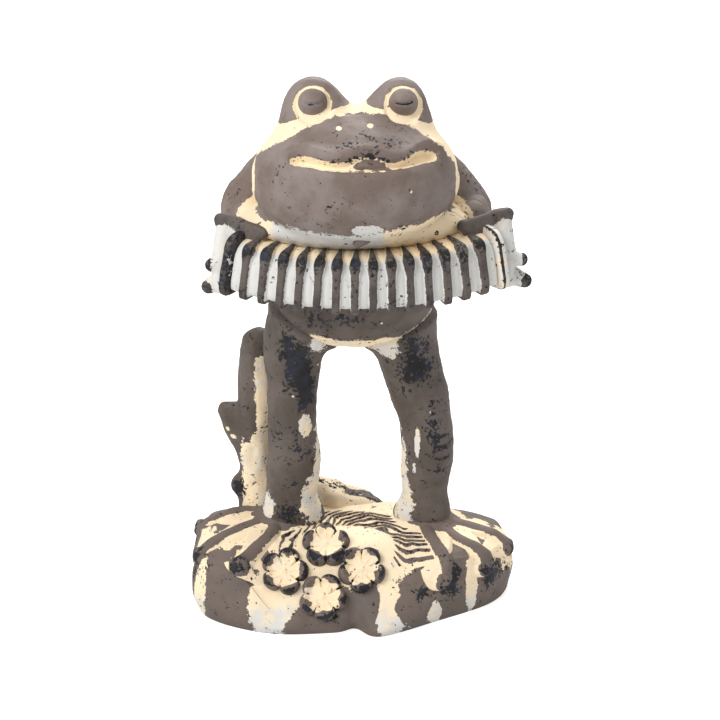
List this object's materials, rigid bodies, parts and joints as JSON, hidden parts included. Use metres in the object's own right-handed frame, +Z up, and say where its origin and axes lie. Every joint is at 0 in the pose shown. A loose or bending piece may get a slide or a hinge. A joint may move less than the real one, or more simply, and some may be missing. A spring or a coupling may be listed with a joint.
{
  "type": "garden frog ornament",
  "caption": "Cast-stone garden frog standing upright on a flowered rock and playing a small pleated accordion, with worn taupe and cream paint.",
  "frame": {"origin": "on the flat underside of the rock, straight below the middle of the figure", "axes": "+Z up, -Y the way the frog faces, +X to the frog's own left"},
  "size_m": [0.241, 0.1595, 0.4001],
  "materials": {
    "taupe_stone": "matte taupe-brown masonry paint over cast stone, worn to blue-black on edges, with a cream wash in the recesses",
    "cream_stone": "matte cream wash over cast stone, with blue-black and taupe showing through",
    "bar_steel": "plain mild steel bar, grouted in"
  },
  "bodies": {
    "root": {"rock_plinth": "taupe_stone", "right_foot": "taupe_stone", "right_leg": "taupe_stone", "left_foot": "taupe_stone", "left_leg": "taupe_stone", "tree_stump": "taupe_stone", "torso": "taupe_stone", "head": "taupe_stone", "throat_knot": "taupe_stone", "right_eyeball": "taupe_stone", "right_arm": "taupe_stone", "left_eyeball": "taupe_stone", "left_arm": "taupe_stone", "right_end_board": "taupe_stone", "right_hand": "taupe_stone", "left_end_board": "taupe_stone", "left_hand": "taupe_stone", "rock_ledge": "cream_stone", "flower_1": "cream_stone", "flower_2": "cream_stone", "flower_3": "cream_stone", "flower_4": "cream_stone", "bellows": "cream_stone", "right_leg_bar": "bar_steel", "left_leg_bar": "bar_steel", "stump_bar": "bar_steel", "neck_dowel": "bar_steel", "right_shoulder_pin": "bar_steel", "left_shoulder_pin": "bar_steel", "accordion_bar": "bar_steel"}
  },
  "joints": []
}
